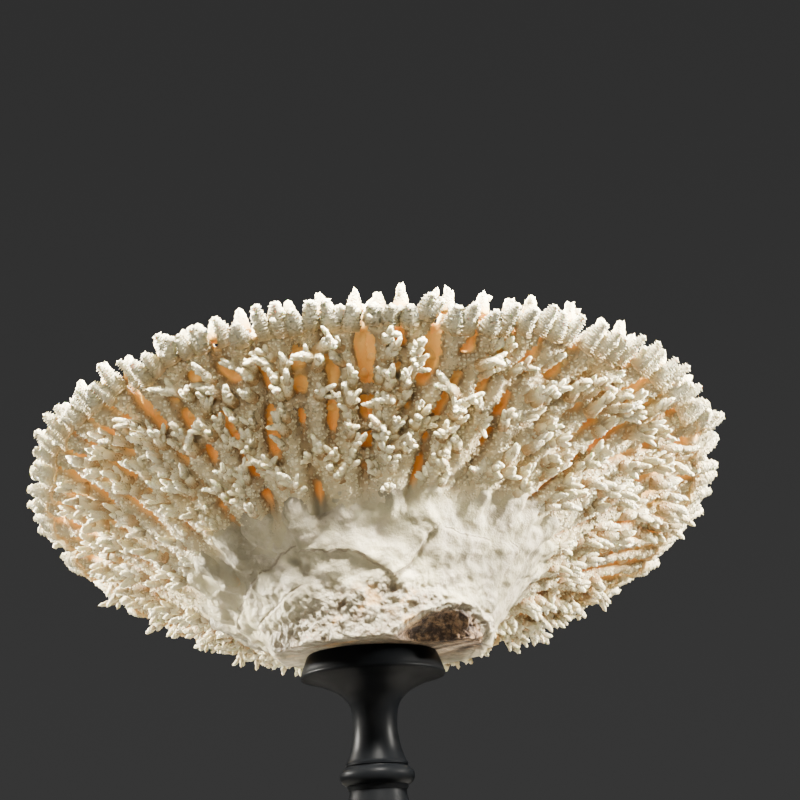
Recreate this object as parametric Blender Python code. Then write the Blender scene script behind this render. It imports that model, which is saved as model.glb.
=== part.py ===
"""Table coral on a turned pedestal.

A plate of table coral, sawn off flat under its trunk, rests on the top of a
turned black wooden pedestal. The plate is tilted: its near side stands up
and its far side hangs low. Origin: the centre of the pedestal's underside.
+Z is up, and +Y points to the low side of the plate. Lengths are in metres.

The coral grew as one piece. It is split at its main forks into a trunk and
twelve limbs, which stand side by side with hairline gaps between them.
"""
import math
import random

import bmesh
import bpy
from mathutils import Vector

# Pedestal, turned about the Z axis
PEDESTAL_HEIGHT = 0.173
PEDESTAL_SEGMENTS = 28
FOOT_RADIUS = 0.075
FOOT_MOULDING = 0.006
TOP_RADIUS = 0.0347
DISC_RADIUS = 0.0384
NECK_RADIUS = 0.0117
BEAD_RADIUS = 0.0196
BEAD_THICKNESS = 0.0096
BEAD_HEIGHT = 0.1095

# Trunk: a sawn foot that flares up to the ring where the limbs start
SEAT_GAP = 0.0003
CUT_HEIGHT = PEDESTAL_HEIGHT + SEAT_GAP
CUT_HALF_WIDTH = 0.057
CUT_HALF_DEPTH = 0.056
CUT_CENTRE = Vector((0.005, 0.0))
ROOT_HALF_WIDTH = 0.092
ROOT_HALF_DEPTH = 0.068
ROOT_CENTRE = Vector((0.003, 0.0))
ROOT_MEAN_HEIGHT = 0.0473
ROOT_TILT = 0.0270
ROOT_LEAN = 0.0095
ROOT_SADDLE = 0.0032
CROWN_THICKNESS = 0.012
FLARE_CURVE = 1.4

# Break at the front of the trunk's foot, with a hollow in it
BREAK_SIDES = (-0.036, 0.058)
BREAK_DEPTH = 0.050
BREAK_HEIGHT = 0.030
HOLLOW_CENTRE = Vector((0.034, -0.052, CUT_HEIGHT + 0.004))
HOLLOW_SIZE = Vector((0.022, 0.014, 0.013))

# Rim of the plate: an ellipse in plan, which rises and falls round the plate
RIM_HALF_WIDTH = 0.199
RIM_HALF_DEPTH = 0.175
RIM_CENTRE = Vector((0.0067, 0.035))
RIM_MEAN_HEIGHT = 0.0962
RIM_TILT = 0.0600
RIM_LEAN = 0.0026
RIM_SADDLE = 0.0060
BOWL_ROUNDNESS = 1.25

# Limbs, split at the main forks
LIMB_COUNT = 12
LIMB_ANGLE = math.tau / LIMB_COUNT
LIMB_GAP = 0.0004
ROOT_OVERLAP = 0.12

# Ribs: how many there are at each reach, from the trunk (0) to the rim (1)
FORK_LEVELS = ((2, 0.0), (4, 0.28), (5, 0.58), (5, 0.78))
RIB_RADII = (0.0085, 0.0070, 0.0060, 0.0050)
RIB_STEPS = 3

# Web: the sheet that joins the ribs over their backs
WEB_DEPTH = 0.003
WEB_THICKNESS = 0.008
WEB_REACH = 0.78

# Fingers along the rim, upright tufts on top, branchlets under the ribs
FINGERS_PER_RIB = 2
FINGER_SPREAD = 0.098
FINGER_RADII = (0.0050, 0.0044, 0.0021)
TUFT_SPACING = 0.0180
TUFT_LENGTH = 0.020
TUFT_ROOT_DEPTH = 0.003
TUFT_RADII = (0.0058, 0.0046, 0.0020)
BRANCHLET_SPACING = 0.021
BRANCHLET_LENGTH = 0.013
BRANCHLET_RADII = (0.0046, 0.0026)

# Fineness of the fused coral solids
FUSE_VOXEL = 0.0024
LIMB_TRIANGLES = 520
TRUNK_TRIANGLES = 680
ROD_SIDES = 7

# Cutters reach from well below the coral to well above it
CUTTER_FLOOR = 0.0
CUTTER_ROOF = 0.6

CORAL_COLOUR = (0.86, 0.80, 0.68, 1.0)
SKIN_COLOUR = (0.80, 0.77, 0.70, 1.0)
LACQUER_COLOUR = (0.008, 0.008, 0.009, 1.0)


# Helpers for objects and meshes

def clear_scene():
    """Remove what the start-up file holds."""
    for old in list(bpy.data.objects):
        bpy.data.objects.remove(old)


def make_material(name, colour, roughness):
    """Return a Principled material."""
    material = bpy.data.materials.new(name)
    material.use_nodes = True
    shader = material.node_tree.nodes["Principled BSDF"]
    shader.inputs["Base Color"].default_value = colour
    shader.inputs["Roughness"].default_value = roughness
    shader.inputs["Metallic"].default_value = 0.0
    return material


def mesh_from(shape, name):
    """Turn a bmesh into a mesh and free it."""
    mesh = bpy.data.meshes.new(name)
    shape.to_mesh(mesh)
    shape.free()
    return mesh


def link_mesh(name, mesh, material, smooth_angle):
    """Link a mesh as a named object, smooth but for its sharp edges."""
    mesh.materials.clear()
    mesh.materials.append(material)
    mesh.shade_smooth()
    mesh.set_sharp_from_angle(angle=math.radians(smooth_angle))
    model = bpy.data.objects.new(name, mesh)
    bpy.context.scene.collection.objects.link(model)
    return model


def link_cutter(name, mesh):
    """Link a mesh as a cutter, which isn't part of the model."""
    cutter = bpy.data.objects.new(name, mesh)
    bpy.context.scene.collection.objects.link(cutter)
    cutter.hide_render = True
    cutter.display_type = "WIRE"
    return cutter


def evaluated_mesh(model):
    """Return the model's mesh with its modifiers applied."""
    graph = bpy.context.evaluated_depsgraph_get()
    return bpy.data.meshes.new_from_object(model.evaluated_get(graph))


def join_rings(shape, rings):
    """Skin closed rings of points one after the other, and cap both ends."""
    loops = [[shape.verts.new(point) for point in ring] for ring in rings]
    sides = len(loops[0])
    for lower, upper in zip(loops, loops[1:]):
        for side in range(sides):
            other = (side + 1) % sides
            shape.faces.new((lower[side], lower[other], upper[other], upper[side]))
    shape.faces.new(reversed(loops[0]))
    shape.faces.new(loops[-1])


# Pedestal

def arc(centre_radius, centre_height, radius, start, end, steps):
    """Return points of a round moulding, angles in degrees from outward."""
    points = []
    for step in range(steps + 1):
        angle = math.radians(start + (end - start) * step / steps)
        points.append((centre_radius + radius * math.cos(angle),
                       centre_height + radius * math.sin(angle)))
    return points


def pedestal_profile():
    """Return (radius, height) from the middle of the foot to the top."""
    foot = [(0.0, 0.0), (FOOT_RADIUS - 0.002, 0.0), (FOOT_RADIUS, 0.002),
            (FOOT_RADIUS, 0.010)]
    foot += arc(FOOT_RADIUS - 0.010, 0.016, FOOT_MOULDING, -30.0, 90.0, 2)
    bell = [(0.0580, 0.0240), (0.0410, 0.0350), (0.0280, 0.0530),
            (0.0195, 0.0770), (0.0152, 0.1000), (0.0156, 0.1035)]
    half_bead = BEAD_THICKNESS / 2
    bead = arc(BEAD_RADIUS - half_bead, BEAD_HEIGHT, half_bead, -66.0, 66.0, 3)
    fillet = [(0.0162, 0.1150), (0.0162, 0.1165)]
    neck = [(0.0132, 0.1240), (NECK_RADIUS, 0.1335), (0.0121, 0.1425),
            (0.0145, 0.1488), (0.0200, 0.1540), (0.0290, 0.1582)]
    disc = [(0.0372, 0.1605), (DISC_RADIUS, 0.1625), (0.0380, 0.1643),
            (TOP_RADIUS, PEDESTAL_HEIGHT - 0.0008), (TOP_RADIUS - 0.0008, PEDESTAL_HEIGHT),
            (0.0, PEDESTAL_HEIGHT)]
    return foot + bell + bead + fillet + neck + disc


def build_pedestal():
    """Turn the pedestal as one solid."""
    shape = bmesh.new()
    points = [shape.verts.new((radius, 0.0, height))
              for radius, height in pedestal_profile()]
    edges = [shape.edges.new(pair) for pair in zip(points, points[1:])]
    bmesh.ops.spin(shape, geom=points + edges, cent=(0, 0, 0), axis=(0, 0, 1),
                   angle=math.tau, steps=PEDESTAL_SEGMENTS, use_merge=True)
    bmesh.ops.remove_doubles(shape, verts=shape.verts, dist=0.00001)
    bmesh.ops.recalc_face_normals(shape, faces=shape.faces)
    lacquer = make_material("black_lacquer", LACQUER_COLOUR, 0.32)
    return link_mesh("pedestal", mesh_from(shape, "pedestal"), lacquer, 40.0)


# Form of the coral: plan angles run from +X towards +Y

def rim_height(angle):
    """Height of the rim over the sawn foot, high at the near side."""
    return (RIM_MEAN_HEIGHT - RIM_TILT * math.sin(angle) + RIM_LEAN * math.cos(angle)
            + RIM_SADDLE * math.cos(2 * angle))


def root_height(angle):
    """Height over the sawn foot at which the limbs leave the trunk."""
    return (ROOT_MEAN_HEIGHT - ROOT_TILT * math.sin(angle) + ROOT_LEAN * math.cos(angle)
            + ROOT_SADDLE * math.cos(2 * angle))


def ellipse_point(centre, half_width, half_depth, angle):
    """Return a plan point of an ellipse."""
    return centre + Vector((half_width * math.cos(angle),
                            half_depth * math.sin(angle)))


def root_plan(angle, gap=0.0):
    """Return the plan point where the trunk ends and the limbs start."""
    return ellipse_point(ROOT_CENTRE, ROOT_HALF_WIDTH + gap, ROOT_HALF_DEPTH + gap, angle)


def rim_plan(angle):
    """Return the plan point of the rim."""
    return ellipse_point(RIM_CENTRE, RIM_HALF_WIDTH, RIM_HALF_DEPTH, angle)


def plate_point(angle, reach, lift=0.0):
    """Return a point under the plate: reach is 0 at the trunk, 1 at the rim."""
    plan = root_plan(angle).lerp(rim_plan(angle), reach)
    if reach < 0.0:
        rise = BOWL_ROUNDNESS * reach
    else:
        rise = 1.0 - max(0.0, 1.0 - reach) ** BOWL_ROUNDNESS
    low = root_height(angle)
    height = CUT_HEIGHT + low + (rim_height(angle) - low) * rise + lift
    return Vector((plan.x, plan.y, height))


def plate_axes(angle, reach):
    """Return the outward, sideways and upper directions of the plate."""
    step = 0.001
    outward = plate_point(angle, reach + step) - plate_point(angle, reach - step)
    sideways = plate_point(angle + step, reach) - plate_point(angle - step, reach)
    outward.normalize()
    sideways.normalize()
    return outward, sideways, outward.cross(sideways).normalized()


def crown_point(angle, share, lift):
    """Return a point in the trunk's top: share is 0 in its middle, 1 at the limbs."""
    plan = ROOT_CENTRE.lerp(root_plan(angle), share)
    height = ROOT_MEAN_HEIGHT + (root_height(angle) - ROOT_MEAN_HEIGHT) * share
    return Vector((plan.x, plan.y, CUT_HEIGHT + height + lift))


def flare_point(angle, share, lift=0.0):
    """Return a point on the trunk's side: share is 0 at the sawn foot, 1 at the limbs."""
    foot = ellipse_point(CUT_CENTRE, CUT_HALF_WIDTH, CUT_HALF_DEPTH, angle)
    plan = foot.lerp(root_plan(angle), share ** FLARE_CURVE)
    height = (root_height(angle) - RIB_RADII[0]) * share
    return Vector((plan.x, plan.y, CUT_HEIGHT + height + lift))


def limb_angle(index, share):
    """Return the plan angle at a share of the limb's width."""
    return (index + share) * LIMB_ANGLE


# Rods: each is tapered, and kept as (start, end, start radius, end radius)

def limb_forks(index):
    """Return a limb's ribs as pairs of (share, reach, radius), and their ends."""
    chance = random.Random(f"ribs {index}")
    ends = []
    ribs = []
    for level, (count, reach) in enumerate(FORK_LEVELS):
        starts = ends
        ends = []
        for number in range(count):
            share = (number + 0.5) / count + chance.uniform(-0.025, 0.025)
            stop = reach + chance.uniform(-0.04, 0.04) * (level > 0)
            ends.append((share, stop, RIB_RADII[level]))
            if level > 0:
                ribs.append((starts[number * len(starts) // count], ends[-1]))
    return ribs, ends


def rib_rods(index, ribs):
    """Return the rods of the ribs, which start just inside the trunk."""
    chance = random.Random(f"bends {index}")
    rods = []
    for (share, reach, radius), (end_share, end_reach, end_radius) in ribs:
        first_reach = reach if reach > 0.0 else -ROOT_OVERLAP
        points = []
        for step in range(RIB_STEPS + 1):
            part = step / RIB_STEPS
            bend = chance.uniform(-0.018, 0.018) if 0 < step < RIB_STEPS else 0.0
            angle = limb_angle(index, share + (end_share - share) * part + bend)
            spot = plate_point(angle, first_reach + (end_reach - first_reach) * part)
            points.append((spot, radius + (end_radius - radius) * part))
        rods += [(near[0], far[0], near[1], far[1]) for near, far in zip(points, points[1:])]
    return rods


def finger_rods(index, ends):
    """Return the tapered fingers that stand along the rim."""
    chance = random.Random(f"rim {index}")
    base_radius, middle_radius, tip_radius = FINGER_RADII
    rods = []
    for share, reach, _ in ends:
        start = plate_point(limb_angle(index, share), reach)
        for number in range(FINGERS_PER_RIB):
            spread = (number - 0.5) * FINGER_SPREAD + chance.uniform(-0.018, 0.018)
            angle = limb_angle(index, min(0.965, max(0.035, share + spread)))
            tip = plate_point(angle, 1.0 - chance.uniform(0.0, 0.09),
                              chance.uniform(-0.004, 0.004))
            middle = start.lerp(tip, 0.5) - Vector((0.0, 0.0, 0.002))
            rods.append((start, middle, base_radius, middle_radius))
            rods.append((middle, tip, middle_radius, tip_radius))
    return rods


def tuft_rods(base, way, length):
    """Return one upright finger of two rods."""
    base_radius, middle_radius, tip_radius = TUFT_RADII
    middle = base + way * length * 0.5
    return [(base, middle, base_radius, middle_radius),
            (middle, base + way * length, middle_radius, tip_radius)]


def limb_tuft_rods(index):
    """Return the upright fingers on the upper side of a limb."""
    chance = random.Random(f"tufts {index}")
    centre_angle = limb_angle(index, 0.5)
    length = (plate_point(centre_angle, 1.0) - plate_point(centre_angle, 0.0)).length
    rows = round(0.78 * length / TUFT_SPACING) + 1
    rods = []
    for row in range(rows):
        reach = 0.05 + 0.75 * row / (rows - 1)
        width = (plate_point(limb_angle(index, 1.0), reach)
                 - plate_point(limb_angle(index, 0.0), reach)).length
        count = max(2, round(width / TUFT_SPACING))
        for number in range(count):
            share = (number + 0.5 + chance.uniform(-0.2, 0.2)) / count
            angle = limb_angle(index, share)
            outward, sideways, upper = plate_axes(angle, reach)
            depth = WEB_DEPTH + WEB_THICKNESS / 2
            way = (upper * 0.7 + Vector((0.0, 0.0, 0.6)) + outward * (0.2 + 0.9 * reach)
                   + sideways * chance.uniform(-0.15, 0.15)).normalized()
            shrink = (1.05 - 0.45 * reach) * chance.uniform(0.9, 1.1)
            rods += tuft_rods(plate_point(angle, reach) + upper * depth, way,
                              TUFT_LENGTH * shrink)
    return rods


def crown_tuft_rods():
    """Return the upright fingers on top of the trunk."""
    chance = random.Random("crown")
    rings = round(ROOT_HALF_WIDTH / TUFT_SPACING)
    rods = []
    for ring in range(rings):
        share = (ring + 0.3) / rings
        around = math.tau * share * (ROOT_HALF_WIDTH + ROOT_HALF_DEPTH) / 2
        count = max(3, round(around / TUFT_SPACING))
        for number in range(count):
            step = number + 0.5 * (ring % 2) + chance.uniform(-0.2, 0.2)
            angle = math.tau * step / count
            lean = Vector((math.cos(angle), math.sin(angle), 0.0)) * 0.2 * share
            way = (lean + Vector((0.0, 0.0, 1.0))).normalized()
            base = crown_point(angle, share, CROWN_THICKNESS - TUFT_ROOT_DEPTH)
            rods += tuft_rods(base, way, TUFT_LENGTH * chance.uniform(0.85, 1.1))
    return rods


def branchlet_rods(index, ribs):
    """Return the stubby branchlets that point out and down under the ribs."""
    chance = random.Random(f"branchlets {index}")
    rods = []
    for (share, reach, _), (end_share, end_reach, _) in ribs:
        start = plate_point(limb_angle(index, share), reach)
        end = plate_point(limb_angle(index, end_share), end_reach)
        count = max(1, round((end - start).length / BRANCHLET_SPACING))
        for number in range(count):
            part = (number + chance.uniform(0.25, 0.75)) / count
            angle = limb_angle(index, share + (end_share - share) * part)
            spot_reach = max(0.12, reach + (end_reach - reach) * part)
            outward, sideways, upper = plate_axes(angle, spot_reach)
            way = (outward * chance.uniform(0.6, 1.1) - upper * chance.uniform(0.6, 1.0)
                   + sideways * chance.uniform(-0.5, 0.5)).normalized()
            length = RIB_RADII[-1] + BRANCHLET_LENGTH * chance.uniform(0.7, 1.1)
            base = plate_point(angle, spot_reach)
            rods.append((base, base + way * length, *BRANCHLET_RADII))
    return rods


# Coral solids: rods and sheets that overlap, fused into one skin and cut to size

def add_rod(shape, rod):
    """Add one tapered rod with rounded ends."""
    start, end, start_radius, end_radius = rod
    way = (end - start).normalized()
    turn = way.to_track_quat("Z", "Y")
    angles = [math.tau * side / ROD_SIDES for side in range(ROD_SIDES)]
    round_off = math.sqrt(0.5)
    rings = []
    for middle, along, wide in ((start, -round_off * start_radius, round_off * start_radius),
                                (start, 0.0, start_radius),
                                (end, 0.0, end_radius),
                                (end, round_off * end_radius, round_off * end_radius)):
        rings.append([middle + way * along
                      + turn @ Vector((math.cos(angle) * wide, math.sin(angle) * wide, 0.0))
                      for angle in angles])
    join_rings(shape, rings)


def add_web(shape, index):
    """Add the closed sheet that joins a limb's ribs over their backs."""
    across = 6
    along = 10
    rings = []
    for row in range(along + 1):
        reach = -ROOT_OVERLAP + (WEB_REACH + ROOT_OVERLAP) * row / along
        under = []
        over = []
        for column in range(across + 1):
            angle = limb_angle(index, -0.02 + 1.04 * column / across)
            spot = plate_point(angle, reach)
            upper = plate_axes(angle, reach)[2]
            under.append(spot + upper * WEB_DEPTH)
            over.append(spot + upper * (WEB_DEPTH + WEB_THICKNESS))
        rings.append(under[::-1] + over)
    join_rings(shape, rings[::-1])


def add_trunk_body(shape):
    """Add the flared trunk, a little too wide and too low, to be cut to size."""
    sides = 4 * LIMB_COUNT
    angles = [math.tau * side / sides for side in range(sides)]
    rings = [[flare_point(angle, 0.0, -0.004) for angle in angles]]
    rings += [[flare_point(angle, share) for angle in angles]
              for share in (0.0, 0.25, 0.5, 0.75, 1.0)]
    rings.append([crown_point(angle, 1.06, -0.006) for angle in angles])
    rings += [[crown_point(angle, share, CROWN_THICKNESS) for angle in angles]
              for share in (1.06, 0.7, 0.35)]
    join_rings(shape, rings)


def fuse(mesh, triangles):
    """Fuse overlapping rods and sheets into one skin of few triangles."""
    body = bpy.data.objects.new("fusing", mesh)
    bpy.context.scene.collection.objects.link(body)
    skin = body.modifiers.new("skin", "REMESH")
    skin.mode = "VOXEL"
    skin.voxel_size = FUSE_VOXEL
    dense = evaluated_mesh(body)
    dense.calc_loop_triangles()
    thin = body.modifiers.new("thin", "DECIMATE")
    thin.ratio = triangles / len(dense.loop_triangles)
    result = evaluated_mesh(body)
    bpy.data.objects.remove(body)
    return result


def cut(mesh, cutter, operation, solver="EXACT"):
    """Cut a mesh with a cutter object and return the result."""
    body = bpy.data.objects.new("cutting", mesh)
    bpy.context.scene.collection.objects.link(body)
    boolean = body.modifiers.new("cut", "BOOLEAN")
    boolean.operation = operation
    boolean.object = cutter
    boolean.solver = solver
    result = evaluated_mesh(body)
    bpy.data.objects.remove(body)
    bpy.data.objects.remove(cutter)
    return result


def prism_cutter(name, outline, low, high):
    """Return an upright prism over a plan outline."""
    shape = bmesh.new()
    join_rings(shape, [[(point.x, point.y, height) for point in outline]
                       for height in (low, high)])
    return link_cutter(name, mesh_from(shape, name))


def hollow_cutter():
    """Return the round cutter of the broken hollow at the front of the foot."""
    shape = bmesh.new()
    bmesh.ops.create_icosphere(shape, subdivisions=2, radius=1.0)
    bmesh.ops.scale(shape, vec=HOLLOW_SIZE, verts=shape.verts)
    bmesh.ops.translate(shape, vec=HOLLOW_CENTRE, verts=shape.verts)
    return link_cutter("hollow", mesh_from(shape, "hollow"))


def keep_largest(mesh):
    """Delete every loose island of the mesh but its largest."""
    shape = bmesh.new()
    shape.from_mesh(mesh)
    islands = []
    left = set(shape.verts)
    while left:
        island = {left.pop()}
        front = list(island)
        while front:
            point = front.pop()
            near = {edge.other_vert(point) for edge in point.link_edges} & left
            left -= near
            island |= near
            front += near
        islands.append(island)
    islands.sort(key=len)
    strays = [point for island in islands[:-1] for point in island]
    bmesh.ops.delete(shape, geom=strays, context="VERTS")
    shape.to_mesh(mesh)
    shape.free()
    return mesh


def sector_outline(index):
    """Return the plan outline that a limb keeps to, clear of its neighbours."""
    edges = []
    for share, side in ((0.0, 1.0), (1.0, -1.0)):
        angle = limb_angle(index, share)
        inner = root_plan(angle, SEAT_GAP)
        outer = inner.lerp(rim_plan(angle), 1.3)
        along = (outer - inner).normalized()
        aside = Vector((-along.y, along.x)) * (side * LIMB_GAP / 2)
        edges.append((inner + aside, outer + aside))
    (first_inner, first_outer), (last_inner, last_outer) = edges
    return [first_inner, first_outer, last_outer, last_inner,
            root_plan(limb_angle(index, 0.5), SEAT_GAP)]


def build_trunk(material):
    """Build the trunk: sawn flat below, flared, broken at the front, tufted on top."""
    shape = bmesh.new()
    add_trunk_body(shape)
    for rod in crown_tuft_rods():
        add_rod(shape, rod)
    mesh = fuse(mesh_from(shape, "trunk"), TRUNK_TRIANGLES)
    outline = [root_plan(LIMB_ANGLE * half / 2) for half in range(2 * LIMB_COUNT)]
    mesh = cut(mesh, prism_cutter("keep", outline, CUT_HEIGHT, CUTTER_ROOF), "INTERSECT")
    left, right = BREAK_SIDES
    front = -2 * BREAK_DEPTH
    face = [Vector((left, front)), Vector((right, front)),
            Vector((right, -BREAK_DEPTH)), Vector((left, -BREAK_DEPTH))]
    breaker = prism_cutter("broken_face", face, CUTTER_FLOOR, CUT_HEIGHT + BREAK_HEIGHT)
    mesh = cut(mesh, breaker, "DIFFERENCE")
    mesh = keep_largest(cut(mesh, hollow_cutter(), "DIFFERENCE"))
    return link_mesh("coral_trunk", mesh, material, 30.0)


def build_limb(index, material):
    """Build one limb of the plate, from its fork at the trunk to the rim."""
    ribs, ends = limb_forks(index)
    rods = rib_rods(index, ribs)
    rods += finger_rods(index, ends)
    rods += limb_tuft_rods(index)
    rods += branchlet_rods(index, ribs)
    shape = bmesh.new()
    add_web(shape, index)
    for rod in rods:
        add_rod(shape, rod)
    mesh = fuse(mesh_from(shape, "limb"), LIMB_TRIANGLES)
    sector = prism_cutter("sector", sector_outline(index), CUTTER_FLOOR, CUTTER_ROOF)
    # The thinned skins touch themselves here and there, where EXACT leaves faces uncut
    mesh = keep_largest(cut(mesh, sector, "INTERSECT", "MANIFOLD"))
    return link_mesh(f"coral_limb_{index + 1:02d}", mesh, material, 30.0)


def main():
    """Build the pedestal, the trunk and the limbs."""
    clear_scene()
    build_pedestal()
    build_trunk(make_material("coral_skin", SKIN_COLOUR, 0.7))
    coral = make_material("coral", CORAL_COLOUR, 0.75)
    for index in range(LIMB_COUNT):
        build_limb(index, coral)


main()
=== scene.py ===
"""Looks of a table coral on a turned pedestal.

The coral's trunk and its twelve limbs replace their plain solids, each in the
same place. Every one is grown from the same forks as its solid, but finer. The
ribs and the web between them are fused into one skin, which is roughened with
small cups. The fingers, tufts and branchlets on it are joined meshes of bent
rods. Lengths are in metres.
"""
import math
import random
from contextlib import contextmanager

import bmesh
import bpy
import numpy as np
from mathutils import Matrix, Vector, noise


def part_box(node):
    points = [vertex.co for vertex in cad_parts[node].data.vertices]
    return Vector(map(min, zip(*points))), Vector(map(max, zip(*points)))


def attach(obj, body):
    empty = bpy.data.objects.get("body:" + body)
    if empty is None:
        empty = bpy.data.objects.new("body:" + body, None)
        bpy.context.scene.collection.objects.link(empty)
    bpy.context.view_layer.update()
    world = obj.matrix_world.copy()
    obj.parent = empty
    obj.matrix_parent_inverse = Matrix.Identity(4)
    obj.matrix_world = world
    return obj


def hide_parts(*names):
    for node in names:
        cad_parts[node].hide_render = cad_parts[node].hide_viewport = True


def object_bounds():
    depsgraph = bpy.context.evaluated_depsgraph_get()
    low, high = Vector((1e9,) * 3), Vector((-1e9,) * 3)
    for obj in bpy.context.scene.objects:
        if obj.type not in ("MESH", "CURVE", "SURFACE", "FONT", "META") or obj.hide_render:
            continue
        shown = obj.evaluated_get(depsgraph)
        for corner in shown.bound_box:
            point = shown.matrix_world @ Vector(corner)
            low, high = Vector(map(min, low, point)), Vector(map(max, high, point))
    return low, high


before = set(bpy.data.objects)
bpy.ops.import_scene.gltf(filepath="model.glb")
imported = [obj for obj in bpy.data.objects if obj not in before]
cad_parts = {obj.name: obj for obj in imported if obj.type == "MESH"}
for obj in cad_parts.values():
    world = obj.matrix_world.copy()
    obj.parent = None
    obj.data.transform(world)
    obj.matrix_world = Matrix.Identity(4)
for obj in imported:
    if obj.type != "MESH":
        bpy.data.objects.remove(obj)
cad_low, cad_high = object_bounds()

# Places taken from the frame
trunk_low, trunk_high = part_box("coral_trunk")
PEDESTAL_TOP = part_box("pedestal")[1].z
CUT_HEIGHT = trunk_low.z
ROOT_CENTRE = np.array([(trunk_low.x + trunk_high.x) / 2, (trunk_low.y + trunk_high.y) / 2])
ROOT_HALF = np.array([(trunk_high.x - trunk_low.x) / 2, (trunk_high.y - trunk_low.y) / 2])

# Form of the coral, as in its solids
CUT_CENTRE = np.array([0.005, 0.0])
CUT_HALF = np.array([0.057, 0.056])
ROOT_WAVES = (0.0473, 0.0270, 0.0095, 0.0032)
RIM_CENTRE = np.array([0.0067, 0.035])
RIM_HALF = np.array([0.199, 0.175])
RIM_WAVES = (0.0962, 0.0600, 0.0026, 0.0060)
BOWL_ROUNDNESS = 1.25
CROWN_THICKNESS = 0.012
FLARE_CURVE = 1.4
LIMB_COUNT = 12
LIMB_ANGLE = math.tau / LIMB_COUNT
ROOT_OVERLAP = 0.12
FORK_LEVELS = ((2, 0.0), (4, 0.28), (5, 0.58), (5, 0.78))
RIB_RADII = (0.0080, 0.0058, 0.0046, 0.0042)
RIB_STEPS = 3
WEB_DEPTH = 0.0045
WEB_THICKNESS = 0.0048
WEB_REACH = 0.76
FILL_DEPTH = -0.0048
FILL_REACH = (-0.03, 0.15)
FILL_WAVES = 0.24
FINGERS_PER_RIB = 2
FINGER_SPREAD = 0.098
FINGER_RADII = (0.0048, 0.0011)
FINGER_HIDDEN = 0.28
TWIN_SHARE = 0.30
BRIDGE_RADII = (0.0026, 0.0042)

# Finer growth than the solids have
TUFT_SPACING = 0.0125
TUFT_LENGTH = 0.0195
TUFT_RADII = (0.0043, 0.0024)
TUFT_ROOT = 0.003
TUFT_START = 0.03
TUFT_REACH = 0.80
TUFT_BUD_RADII = (0.0021, 0.0015)
FINGER_BUD_RADII = (0.0024, 0.0015)
CLUSTER_SPACING = 0.0080
CLUSTER_END = 0.79
STEM_RADII = (0.0031, 0.0017)
LOBE_LENGTH = 0.0068
LOBE_RADII = (0.0018, 0.0010)
CEILING = cad_high.z - 0.0044
LOWEST_STEM = CUT_HEIGHT + 0.0040
PLATE_VOXEL = 0.0021
TRUNK_VOXEL = 0.0016
CUP_HEIGHT = 0.0013
CUP_SHARE = 0.36
# Painted highlight: how much lighter the raised cup tips are painted
CUP_TIP_HIGHLIGHT = 0.35
# Painted shade: share of the plate's painted lightness, so the plate is painted darker than the
# rods on it
PLATE_SHADE = 0.50
FLANK_GLOW = 0.0030
ROD_SIDES = 8

# Camera: it stands low and close, and looks up at the underside
CAMERA_PLACE = Vector((0.0219, -0.90, 0.0218))
CAMERA_PITCH = math.radians(18.0)
CAMERA_ROLL = math.radians(3.0)
CAMERA_LENS = 76.5
CAMERA_SENSOR = 36.0


# Form of the plate, for arrays of plan angles and reaches

def between(start, end, share):
    """Return the value at a share of the way from one to the other."""
    return start + (end - start) * share


def wave_height(waves, angle):
    """Height of a ring over the sawn foot: mean, tilt, lean and saddle."""
    mean, tilt, lean, saddle = waves
    return mean - tilt * np.sin(angle) + lean * np.cos(angle) + saddle * np.cos(2 * angle)


def ring_plan(centre, half, angle):
    """Return plan points of an ellipse."""
    return centre + half * np.stack([np.cos(angle), np.sin(angle)], -1)


def plate_point(angle, reach):
    """Return points under the plate: reach is 0 at the trunk, 1 at the rim."""
    angle, reach = np.broadcast_arrays(np.asarray(angle, float), np.asarray(reach, float))
    root = ring_plan(ROOT_CENTRE, ROOT_HALF, angle)
    rim = ring_plan(RIM_CENTRE, RIM_HALF, angle)
    plan = between(root, rim, reach[..., None])
    rise = np.where(reach < 0.0, BOWL_ROUNDNESS * reach,
                    1.0 - np.maximum(0.0, 1.0 - reach) ** BOWL_ROUNDNESS)
    low = wave_height(ROOT_WAVES, angle)
    height = CUT_HEIGHT + between(low, wave_height(RIM_WAVES, angle), rise)
    return np.concatenate([plan, height[..., None]], -1)


def unit(vectors):
    """Return vectors of length one."""
    return vectors / np.linalg.norm(vectors, axis=-1, keepdims=True)


def plate_axes(angle, reach):
    """Return the outward, sideways and upper directions of the plate."""
    step = 0.001
    outward = unit(plate_point(angle, reach + step) - plate_point(angle, reach - step))
    sideways = unit(plate_point(angle + step, reach) - plate_point(angle - step, reach))
    return outward, sideways, unit(np.cross(outward, sideways))


def plate_coordinates(points):
    """Return the plan angle, the reach and the height over the plate of points."""
    low = np.full(len(points), -0.9)
    high = np.full(len(points), 1.4)
    for _ in range(18):
        reach = (low + high) / 2
        centre = between(ROOT_CENTRE, RIM_CENTRE, reach[:, None])
        half = between(ROOT_HALF, RIM_HALF, reach[:, None])
        scaled = (points[:, :2] - centre) / half
        outside = np.hypot(scaled[:, 0], scaled[:, 1]) > 1.0
        low = np.where(outside, reach, low)
        high = np.where(outside, high, reach)
    angle = np.arctan2(scaled[:, 1], scaled[:, 0])
    upper = plate_axes(angle, reach)[2]
    height = ((points - plate_point(angle, reach)) * upper).sum(-1)
    return angle, reach, height, upper


def crown_point(angle, share, lift):
    """Return a point in the trunk's top: share is 0 in its middle, 1 at the limbs."""
    plan = between(ROOT_CENTRE, ring_plan(ROOT_CENTRE, ROOT_HALF, angle), share)
    height = between(ROOT_WAVES[0], wave_height(ROOT_WAVES, angle), share)
    return np.append(plan, CUT_HEIGHT + height + lift)


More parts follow.
